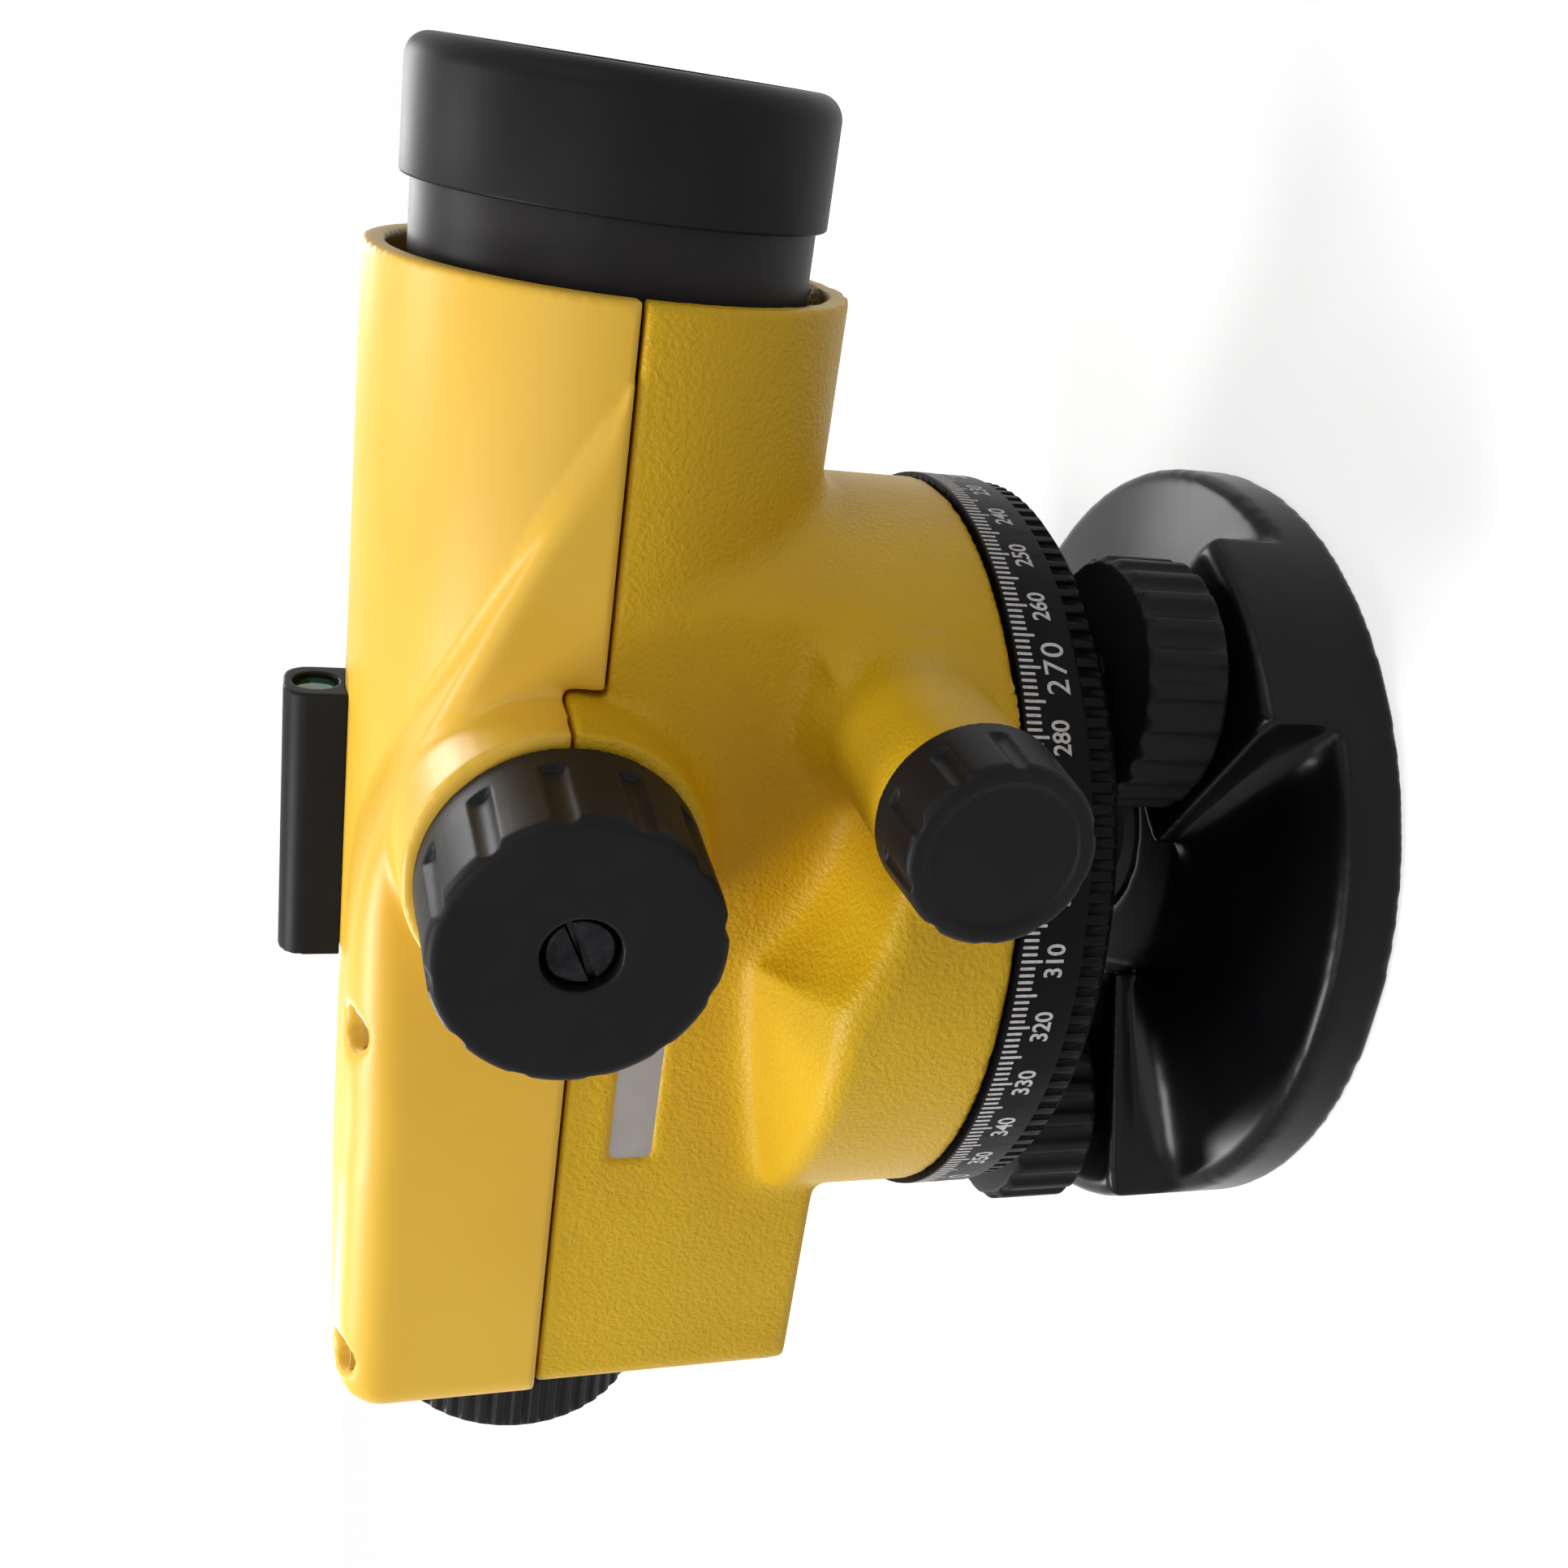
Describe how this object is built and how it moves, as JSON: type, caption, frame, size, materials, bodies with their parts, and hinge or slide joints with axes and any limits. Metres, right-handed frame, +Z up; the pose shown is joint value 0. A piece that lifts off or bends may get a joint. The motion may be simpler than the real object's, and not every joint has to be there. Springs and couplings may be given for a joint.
{
  "type": "automatic level",
  "caption": "Surveyor's automatic level: telescope with focus knob, pendulum compensator, circular level and peep sight over a graduated circle and a footscrew base.",
  "frame": {"origin": "on the vertical axis, in the tripod face under the base plate", "axes": "+Z up along the vertical axis, +X along the line of sight towards the objective, +Y to the left, away from the focus knob"},
  "size_m": [0.1852, 0.1226, 0.126],
  "materials": {
    "yellow_paint": "grained satin paint on cast alloy",
    "yellow_cover": "smooth satin moulding",
    "black_plastic": "satin moulding",
    "circle_plastic": "satin moulding with white printed scale",
    "black_enamel": "semi-gloss enamel on cast alloy",
    "black_anodised": "black anodised",
    "black_rubber": "matt",
    "bare_casting": "as cast and machined",
    "dark_steel": "oiled",
    "brass": "turned",
    "plate_metal": "bare sheet",
    "lens_glass": "polished, coated",
    "vial_glass": "filled vial",
    "mirror_glass": "silvered"
  },
  "bodies": {
    "base": {"base_plate": "black_enamel", "tripod_bush": "brass", "foot_retainers": "dark_steel"},
    "levelling_head": {"levelling_head": "black_enamel", "footscrew_nuts": "brass", "centre_bush": "brass", "clutch_spring": "dark_steel", "worm_wheel": "brass"},
    "footscrew_front_right": {"footscrew_front_right": "black_plastic"},
    "footscrew_rear_right": {"footscrew_rear_right": "black_plastic"},
    "footscrew_left": {"footscrew_left": "black_plastic"},
    "circle": {"circle_ring": "circle_plastic"},
    "horizontal_drive": {"drive_shaft": "dark_steel", "drive_worm": "dark_steel", "drive_knob_right": "black_plastic", "drive_knob_left": "black_plastic"},
    "focus_drive": {"focus_shaft": "dark_steel", "focus_pinion": "brass", "focus_knob": "black_plastic", "focus_knob_screw": "dark_steel"},
    "focus_lens": {"focusing_cell": "brass", "focusing_lens": "lens_glass", "focus_rack": "brass"},
    "pendulum": {"suspension_tapes": "dark_steel", "pendulum_hanger": "bare_casting", "pendulum_prism": "lens_glass"},
    "dioptre": {"dioptre_ring": "black_plastic", "eye_guard": "black_rubber"},
    "eyepiece_optics": {"eyepiece_cell": "black_anodised", "eyepiece_lenses": "lens_glass"},
    "alidade": {"spindle": "dark_steel", "spindle_nut": "dark_steel", "lower_body": "yellow_paint", "top_cover": "yellow_cover", "cover_screws": "dark_steel", "inner_frame": "bare_casting", "frame_screws": "dark_steel", "objective_tube": "black_anodised", "objective_hood": "black_plastic", "objective_cell": "black_anodised", "objective_lenses": "lens_glass", "objective_ring": "black_anodised", "front_seal": "black_rubber", "focus_guide": "black_anodised", "focus_bush": "brass", "drive_bushes": "brass", "compensator_frame": "bare_casting", "fixed_prisms": "lens_glass", "damping_magnets": "dark_steel", "reticle_holder": "black_anodised", "reticle": "lens_glass", "eyepiece_tube": "black_anodised", "level_housing": "black_anodised", "level_vial": "vial_glass", "level_screws": "dark_steel", "mirror_box": "black_plastic", "level_mirror": "mirror_glass", "sight_body": "black_plastic", "sight_lenses": "lens_glass", "number_plate": "plate_metal"}
  },
  "joints": [
    {"name": "level_tilt", "type": "hinge", "parent": "base", "child": "levelling_head", "pos_m": [-0.00155, -0.01843, 0.0116], "axis": [0.9965, -0.0837, 0], "range_deg": [-2, 2]},
    {"name": "footscrew_left_turn", "type": "hinge", "parent": "base", "child": "footscrew_left", "pos_m": [0.0031, 0.03687, 0.0116], "axis": [0, 0, 1], "range_deg": [-720, 720]},
    {"name": "footscrew_front_right_turn", "type": "hinge", "parent": "levelling_head", "child": "footscrew_front_right", "pos_m": [0.03038, -0.02112, 0.0116], "axis": [0, 0, 1], "range_deg": [-720, 720]},
    {"name": "footscrew_rear_right_turn", "type": "hinge", "parent": "levelling_head", "child": "footscrew_rear_right", "pos_m": [-0.03348, -0.01575, 0.0116], "axis": [0, 0, 1], "range_deg": [-720, 720]},
    {"name": "circle_turn", "type": "hinge", "parent": "levelling_head", "child": "circle", "pos_m": [0, 0, 0.0413], "axis": [0, 0, 1], "continuous": true},
    {"name": "alidade_turn", "type": "hinge", "parent": "levelling_head", "child": "alidade", "pos_m": [0, 0, 0.0632], "axis": [0, 0, 1], "continuous": true},
    {"name": "drive_turn", "type": "hinge", "parent": "alidade", "child": "horizontal_drive", "pos_m": [0.0267, 0, 0.058], "axis": [0, 1, 0], "continuous": true},
    {"name": "focus_turn", "type": "hinge", "parent": "alidade", "child": "focus_drive", "pos_m": [0.0117, -0.0374, 0.0968], "axis": [0, 1, 0], "range_deg": [-206, 206]},
    {"name": "focus_slide", "type": "slide", "parent": "alidade", "child": "focus_lens", "axis": [1, 0, 0], "range_m": [-0.009, 0.009]},
    {"name": "pendulum_swing", "type": "hinge", "parent": "alidade", "child": "pendulum", "pos_m": [-0.034, 0, 0.107], "axis": [0, 1, 0], "range_deg": [-1, 1]},
    {"name": "dioptre_turn", "type": "hinge", "parent": "alidade", "child": "dioptre", "pos_m": [-0.082, 0, 0.0915], "axis": [1, 0, 0], "range_deg": [-180, 180]},
    {"name": "eyepiece_slide", "type": "slide", "parent": "alidade", "child": "eyepiece_optics", "axis": [1, 0, 0], "range_m": [-0.0015, 0.0015]}
  ],
  "couplings": [
    {"joint": "footscrew_left_turn", "follows": "level_tilt", "ratio": -348.72},
    {"joint": "drive_turn", "follows": "alidade_turn", "ratio": 72},
    {"joint": "focus_slide", "follows": "focus_turn", "m_per_rad": -0.0025},
    {"joint": "eyepiece_slide", "follows": "dioptre_turn", "m_per_rad": 0.000477}
  ]
}
